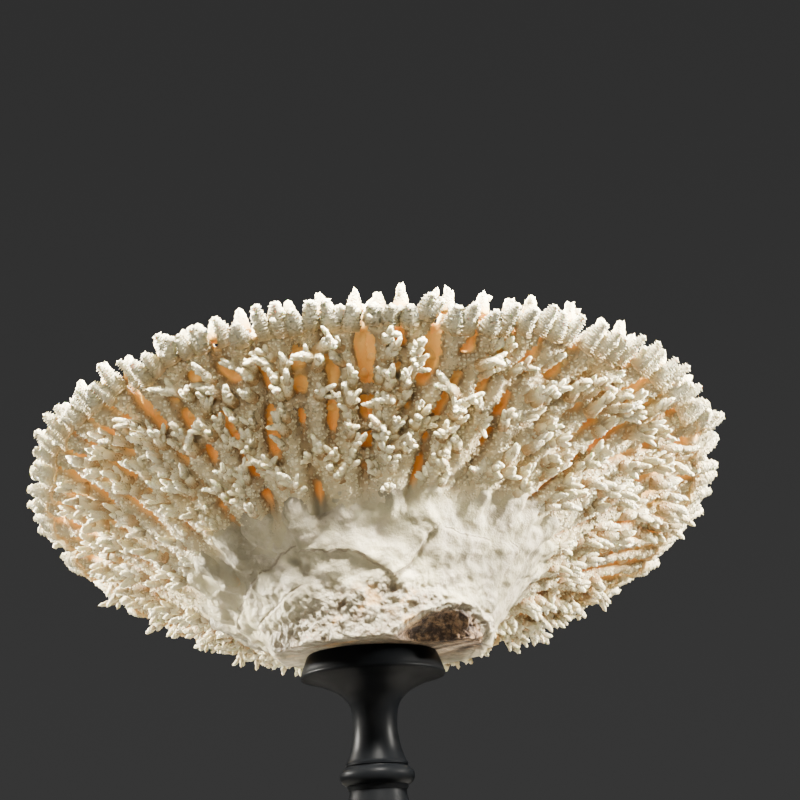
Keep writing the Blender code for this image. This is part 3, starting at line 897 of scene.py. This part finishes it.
def carve(points, normals):
    """Move the trunk's vertices: soft folds, seams, a dent, the rock face and its hollow."""
    folds = (noise_at(points, 38.0, 1) * 0.0026 + noise_at(points, 85.0, 8) * 0.0020
             + noise_at(points, 170.0, 2) * 0.0006)
    _, _, lift = seam_field(points)
    rock, _, lip = rock_masks(points)
    degrees, heights = unrolled(points)
    pit = np.hypot(np.radians(degrees - PIT_PLACE[0]) * UNROLLED_RADIUS, heights - PIT_PLACE[1])
    dent = PIT_DEPTH * (1 - smooth_step(pit, PIT_RADIUS * 0.5, PIT_RADIUS))
    facets = noise_at(points, 110.0, 3) * 0.0022 + noise_at(points, 330.0, 4) * 0.0012
    out = folds + lift - dent - rock * (ROCK_DEPTH - facets) + lip * LIP_HEIGHT
    flat = smooth_step(np.abs(normals[:, 2]), 0.75, 0.95)
    return hollow_out(points + normals * (out * (1 - flat))[:, None])


def build_trunk(material):
    """Grow the trunk's folded skin, and saw it off flat."""
    skin = fuse([rings_to_arrays(trunk_rings()), rods_to_arrays(stub_rods())], TRUNK_VOXEL)
    skin.name = "trunk_skin"
    refine_front(skin)
    points = carve(*vertex_arrays(skin))
    skin.vertices.foreach_set("co", points.ravel())
    skin.shade_smooth()
    saw_flat(skin)
    points, _ = vertex_arrays(skin)
    for name, values in zip(("seam", "seam_near"), seam_field(points)):
        set_attribute(skin, name, values)
    for name, values in zip(("rock", "hollow"), rock_masks(points)):
        set_attribute(skin, name, values)
    skin.materials.append(material)
    piece = link("trunk_skin", skin)
    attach(piece, "root")
    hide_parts("coral_trunk")


def build_crown(material):
    """Grow the upright fingers on top of the trunk."""
    piece = join_growths("trunk_crown", grow_tufts(*crown_tuft_rods(), 777), material)
    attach(piece, "root")
    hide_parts("coral_trunk")


# Pedestal

PEDESTAL_STEPS = 96


def arc(centre_radius, centre_height, radius, start, end, steps):
    """Return points of a round moulding, angles in degrees from outward."""
    angles = np.radians(np.linspace(start, end, steps + 1))
    return [(centre_radius + radius * math.cos(angle), centre_height + radius * math.sin(angle))
            for angle in angles]


def smooth_run(knots, steps):
    """Return points of a smooth curve through a run of (radius, height)."""
    knots = [np.array(knot) for knot in knots]
    padded = [2 * knots[0] - knots[1]] + knots + [2 * knots[-1] - knots[-2]]
    points = []
    for before, start, end, after in zip(padded, padded[1:], padded[2:], padded[3:]):
        for step in range(steps):
            part = step / steps
            points.append(tuple(0.5 * (2 * start + (end - before) * part
                                       + (2 * before - 5 * start + 4 * end - after) * part ** 2
                                       + (3 * start - before - 3 * end + after) * part ** 3)))
    return points + [tuple(knots[-1])]


def pedestal_profile(top):
    """Return (radius, height) from the middle of the foot to the middle of the top."""
    profile = [(0.0, 0.0), (0.0730, 0.0)] + arc(0.0735, 0.0015, 0.0015, -80.0, 0.0, 4)
    profile += [(0.0750, 0.0090)] + arc(0.0742, 0.0096, 0.0008, 0.0, 80.0, 3)
    profile += arc(0.0650, 0.0160, 0.0060, -55.0, 90.0, 12)
    profile += smooth_run([(0.0620, 0.0226), (0.0580, 0.0240), (0.0410, 0.0350),
                           (0.0280, 0.0530), (0.0195, 0.0770), (0.0152, 0.1000),
                           (0.0152, 0.1025)], 6)
    profile += [(0.0158, 0.1032)] + arc(0.0148, 0.1095, 0.0048, -75.0, 75.0, 12)
    profile += [(0.0158, 0.1146), (0.0164, 0.1151), (0.0164, 0.1162)]
    profile += smooth_run([(0.0157, 0.1168), (0.0132, 0.1240), (0.0117, 0.1335),
                           (0.0121, 0.1425), (0.0145, 0.1488), (0.0200, 0.1540),
                           (0.0290, 0.1582), (0.0365, 0.1605)], 6)
    profile += arc(0.0372, 0.1620, 0.0013, -60.0, 50.0, 6)
    profile += [(0.0377, 0.1643), (0.0349, top - 0.0010)]
    profile += arc(0.0339, top - 0.0008, 0.0008, 10.0, 90.0, 3)
    return profile + [(0.0, top)]


def build_pedestal(material):
    """Turn the pedestal with smooth curves."""
    mesh = bpy.data.meshes.new("turned_pedestal")
    with reshaped(mesh) as shape:
        points = [shape.verts.new((radius, 0.0, min(height, PEDESTAL_TOP)))
                  for radius, height in pedestal_profile(PEDESTAL_TOP)]
        edges = [shape.edges.new(pair) for pair in zip(points, points[1:])]
        bmesh.ops.spin(shape, geom=points + edges, cent=(0, 0, 0), axis=(0, 0, 1),
                       angle=math.tau, steps=PEDESTAL_STEPS, use_merge=True)
        bmesh.ops.remove_doubles(shape, verts=shape.verts, dist=0.00001)
        bmesh.ops.recalc_face_normals(shape, faces=shape.faces)
    mesh.shade_smooth()
    mesh.set_sharp_from_angle(angle=math.radians(38.0))
    mesh.materials.append(material)
    piece = link("turned_pedestal", mesh)
    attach(piece, "root")
    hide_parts("pedestal")


# Materials

class Nodes:
    """Short ways to add and join the shader nodes of a material or of the world."""

    def __init__(self, owner):
        owner.use_nodes = True
        self.owner = owner
        self.tree = owner.node_tree
        self.shader = self.tree.nodes.get("Principled BSDF")

    def add(self, kind, inputs=(), **settings):
        """Add a node with its settings, and join or set its inputs."""
        node = self.tree.nodes.new(kind)
        for key, value in settings.items():
            setattr(node, key, value)
        for key, value in dict(inputs).items():
            self.join(value, node.inputs[key])
        return node

    def join(self, source, target):
        """Link an output socket to an input socket, or set a plain value."""
        if isinstance(source, (int, float, tuple)):
            target.default_value = source
        else:
            self.tree.links.new(source, target)

    def place(self):
        """Return the object coordinates."""
        return self.add("ShaderNodeTexCoord").outputs["Object"]

    def attribute(self, name):
        """Return a stored number."""
        return self.add("ShaderNodeAttribute", attribute_name=name).outputs["Fac"]

    def noise(self, scale, detail=4.0, roughness=0.55):
        """Return noise from 0 to 1."""
        return self.add("ShaderNodeTexNoise", {
            "Vector": self.place(), "Scale": scale, "Detail": detail,
            "Roughness": roughness}).outputs["Fac"]

    def grains(self, scale, edge):
        """Return round grains: 1 in their middle, 0 beyond their edge."""
        cells = self.add("ShaderNodeTexVoronoi", {"Vector": self.place(), "Scale": scale})
        return self.remap(cells.outputs["Distance"], 0.05, edge, 1.0, 0.0)

    def remap(self, value, low, high, new_low=0.0, new_high=1.0):
        """Return a value moved smoothly from one range to another."""
        return self.add("ShaderNodeMapRange", {
            "Value": value, "From Min": low, "From Max": high, "To Min": new_low,
            "To Max": new_high}, interpolation_type="SMOOTHSTEP").outputs["Result"]

    def math(self, operation, first, second=0.0):
        """Return the result of a calculation."""
        return self.add("ShaderNodeMath", {0: first, 1: second}, operation=operation).outputs[0]

    def times(self, first, second):
        """Return the product of two values."""
        return self.math("MULTIPLY", first, second)

    def mix(self, share, first, second, blend="MIX"):
        """Return a mix of two colours."""
        return self.add("ShaderNodeMix", {"Factor": share, "A": first, "B": second},
                        data_type="RGBA", blend_type=blend).outputs["Result"]

    def bump(self, height, strength, distance, normal=None):
        """Return a bumped normal, on top of another where one is given."""
        inputs = {"Strength": strength, "Distance": distance, "Height": height}
        if normal is not None:
            inputs["Normal"] = normal
        return self.add("ShaderNodeBump", inputs).outputs["Normal"]

    def finish(self, colour, roughness, normal, **plain):
        """Join the shader's main sockets and set its plain ones."""
        sockets = {"Base Color": colour, "Roughness": roughness, "Normal": normal}
        sockets.update({name.replace("_", " "): value for name, value in plain.items()})
        for name, value in sockets.items():
            self.join(value, self.shader.inputs[name])
        return self.owner


# Colours of the coral, of its painted shade, of the painted glow of light deep in its gaps and of
# its skin
WHITE = (0.92, 0.88, 0.64, 1.0)
CREAM = (0.83, 0.755, 0.49, 1.0)
PAINTED_SHADE_TAN = (0.31, 0.23, 0.13, 1.0)
GLOW_AMBER = (0.98, 0.62, 0.17, 1.0)
GLOW_ORANGE = (0.80, 0.33, 0.05, 1.0)
LIGHT_THROUGH_WEB = 0.09
SKIN_GREY = (0.20, 0.175, 0.115, 1.0)
SKIN_WHITE = (0.52, 0.465, 0.285, 1.0)


def skin_colour(n):
    """Return the patchy grey and white of the smooth skin."""
    return n.mix(n.remap(n.noise(22.0, 5.0), 0.35, 0.68), SKIN_GREY, SKIN_WHITE)


def coral_material():
    """Bleached coral with painted light: whiter tips, tan painted shade in the crevices and an
    amber painted glow deep in the gaps.
    """
    n = Nodes(bpy.data.materials.new("coral"))
    base = n.mix(n.remap(n.noise(28.0, 3.0), 0.35, 0.65), CREAM, WHITE)
    # Painted shade and highlight: crevices and rod bases are painted tan, the tips are painted
    # whiter.
    shade = n.attribute("shade")
    base = n.mix(n.remap(shade, 0.15, 0.75), PAINTED_SHADE_TAN, base)
    base = n.mix(n.times(n.remap(shade, 0.7, 1.0), 0.7), base, WHITE)
    wavy = n.math("ADD", n.attribute("reach"), n.times(n.noise(34.0, 4.0), 0.26))
    bare = n.remap(wavy, 0.08, 0.23, 1.0, 0.0)
    base = n.mix(bare, base, skin_colour(n))
    # Painted glow of light through the web: deeper orange near the trunk, amber further out.
    near_trunk = n.remap(n.attribute("reach"), 0.05, 0.75)
    glow = n.mix(near_trunk, GLOW_ORANGE, GLOW_AMBER)
    glow = n.mix(n.times(n.remap(n.noise(45.0, 3.0), 0.35, 0.65), 0.6), glow, GLOW_ORANGE)
    base = n.mix(n.attribute("painted_glow"), base, glow)
    # The painted glow also shines a little, as emission.
    n.join(n.mix(n.attribute("painted_glow"), (0.0, 0.0, 0.0, 1.0), glow),
           n.shader.inputs["Emission Color"])
    grained = n.remap(n.attribute("painted_glow"), 0.1, 0.5, 1.0, 0.25)
    grained = n.times(grained, n.math("SUBTRACT", 1.0, bare))
    grains = n.times(n.grains(600.0, 0.50), grained)
    # Painted shade: the pits between the grains are darkened, most where the painted shade is low.
    between = n.times(n.math("SUBTRACT", grained, grains),
                     n.remap(shade, 0.1, 1.0, 0.85, 0.45))
    base = n.mix(between, base, (0.80, 0.70, 0.55, 1.0), "MULTIPLY")
    normal = n.bump(grains, 0.9, 0.0007)
    normal = n.bump(n.noise(1500.0, 2.0), 0.25, 0.0002, normal)
    rough = n.remap(n.noise(60.0), 0.3, 0.7, 0.62, 0.85)
    return n.finish(base, rough, normal, Subsurface_Weight=0.12, Subsurface_Scale=0.004,
                    Subsurface_Radius=(1.0, 0.70, 0.35), Specular_IOR_Level=0.35,
                    Emission_Strength=LIGHT_THROUGH_WEB)


def skin_material():
    """Smooth white skin, with thin seams, and the stained rock that it broke from."""
    n = Nodes(bpy.data.materials.new("coral_skin"))
    smudge = n.remap(n.noise(75.0, 6.0, 0.65), 0.45, 0.68)
    base = n.mix(n.times(smudge, 0.55), skin_colour(n), (0.48, 0.41, 0.31, 1.0))
    rock = n.attribute("rock")
    chips = n.remap(n.noise(130.0, 7.0, 0.7), 0.36, 0.58)
    stone = n.mix(chips, (0.14, 0.105, 0.065, 1.0), (0.26, 0.23, 0.16, 1.0))
    ochre = n.remap(n.noise(62.0, 4.0), 0.56, 0.66)
    stone = n.mix(n.times(ochre, 0.6), stone, (0.44, 0.26, 0.09, 1.0))
    specks = n.remap(n.noise(330.0, 2.0), 0.70, 0.76)
    stone = n.mix(n.times(specks, 0.8), stone, (0.30, 0.07, 0.04, 1.0))
    base = n.mix(rock, base, stone)
    brown = n.mix(n.remap(n.noise(210.0, 5.0, 0.7), 0.40, 0.68), (0.030, 0.017, 0.010, 1.0),
                  (0.24, 0.15, 0.08, 1.0))
    base = n.mix(n.attribute("hollow"), base, brown)
    wander = n.times(n.math("SUBTRACT", n.noise(170.0, 4.0), 0.5), 0.0040)
    gap = n.math("ABSOLUTE", n.math("ADD", n.attribute("seam"), wander))
    seam = n.times(n.remap(gap, 0.0002, 0.0007, 1.0, 0.0), n.attribute("seam_near"))
    seam = n.times(seam, n.remap(n.noise(60.0, 2.0), 0.30, 0.45))
    base = n.mix(n.times(seam, 0.55), base, (0.16, 0.12, 0.08, 1.0))
    normal = n.bump(n.noise(95.0, 7.0, 0.6), 0.9, 0.0032)
    normal = n.bump(n.times(n.noise(230.0, 6.0, 0.6), rock), 0.8, 0.0020, normal)
    normal = n.bump(n.noise(520.0, 4.0), 0.4, 0.0005, normal)
    normal = n.bump(seam, 0.8, -0.0008, normal)
    rough = n.remap(n.noise(50.0), 0.3, 0.7, 0.50, 0.8)
    return n.finish(base, rough, normal, Subsurface_Weight=0.08, Subsurface_Scale=0.003,
                    Subsurface_Radius=(1.0, 0.7, 0.45), Specular_IOR_Level=0.30)


def lacquer_material():
    """Satin black lacquer over turned wood."""
    n = Nodes(bpy.data.materials.new("black_lacquer"))
    haze = n.remap(n.noise(35.0, 5.0), 0.35, 0.7)
    base = n.mix(haze, (0.0018, 0.0021, 0.0026, 1.0), (0.0045, 0.0048, 0.0052, 1.0))
    rough = n.remap(n.noise(80.0, 6.0), 0.3, 0.7, 0.33, 0.45)
    normal = n.bump(n.noise(600.0, 3.0), 0.08, 0.0002)
    return n.finish(base, rough, normal, Specular_IOR_Level=0.05, IOR=1.30)


# Stage

LIGHT_COLOUR = (1.0, 0.965, 0.89)


def build_floor():
    """Lay the plain pale floor."""
    n = Nodes(bpy.data.materials.new("floor"))
    base = n.mix(n.noise(3.0), (0.50, 0.49, 0.47, 1.0), (0.54, 0.53, 0.51, 1.0))
    material = n.finish(base, 0.7, n.bump(n.noise(200.0), 0.05, 0.0005))
    mesh = bpy.data.meshes.new("floor")
    with reshaped(mesh) as shape:
        bmesh.ops.create_circle(shape, cap_ends=True, radius=3.0, segments=96)
        bmesh.ops.translate(shape, vec=(0, 0, -0.0005), verts=shape.verts)
    mesh.materials.append(material)
    link("floor", mesh)


def build_world():
    """Surround the stage with plain dark grey, a little lighter low down."""
    world = bpy.data.worlds.new("surround")
    bpy.context.scene.world = world
    n = Nodes(world)
    split = n.add("ShaderNodeSeparateXYZ")
    n.join(n.add("ShaderNodeTexCoord").outputs["Generated"], split.inputs["Vector"])
    surround = n.tree.nodes["Background"]
    n.join(n.remap(split.outputs["Z"], 0.02, 0.55, 0.045, 0.036), surround.inputs["Color"])
    surround.inputs["Strength"].default_value = 1.0


def area_light(name, place, aim, size, power, spread):
    """Place one soft, warm area light."""
    light = bpy.data.lights.new(name, "AREA")
    light.shape = "DISK"
    light.size = size
    light.energy = power
    light.color = LIGHT_COLOUR
    light.spread = math.radians(spread)
    lamp = link(name, light)
    lamp.location = place
    lamp.rotation_euler = (Vector(aim) - Vector(place)).to_track_quat("-Z", "Y").to_euler()
    lamp.visible_camera = False


def build_lights():
    """Light the coral from behind and above, from both sides and softly in front."""
    area_light("back_top", (0.20, 0.75, 1.05), (0.0, 0.05, 0.30), 0.45, 6.0, 34.0)
    area_light("right", (1.00, -0.12, 0.60), (0.0, 0.03, 0.46), 0.35, 20.0, 36.0)
    area_light("left", (-0.98, 0.24, 0.62), (-0.04, 0.03, 0.47), 0.35, 23.0, 36.0)
    area_light("top_front", (0.15, -0.75, 1.10), (0.0, -0.10, 0.34), 0.3, 5.0, 22.0)
    area_light("front_fill", (-0.30, -1.20, 0.20), (0.0, 0.0, 0.34), 0.6, 0.65, 40.0)


def build_camera():
    """Place the camera at the photographed view."""
    lens = bpy.data.cameras.new("camera")
    lens.lens = CAMERA_LENS
    lens.sensor_width = CAMERA_SENSOR
    lens.clip_start = 0.01
    camera = link("camera", lens)
    tilt = Matrix.Rotation(math.radians(90.0) + CAMERA_PITCH, 4, "X")
    roll = Matrix.Rotation(-CAMERA_ROLL, 4, "Z")
    camera.matrix_world = Matrix.Translation(CAMERA_PLACE) @ tilt @ roll
    bpy.context.scene.camera = camera


coral = coral_material()
for limb in range(LIMB_COUNT):
    build_limb(limb, coral)
build_trunk(skin_material())
build_crown(coral)
build_pedestal(lacquer_material())
build_floor()
build_world()
build_lights()
build_camera()
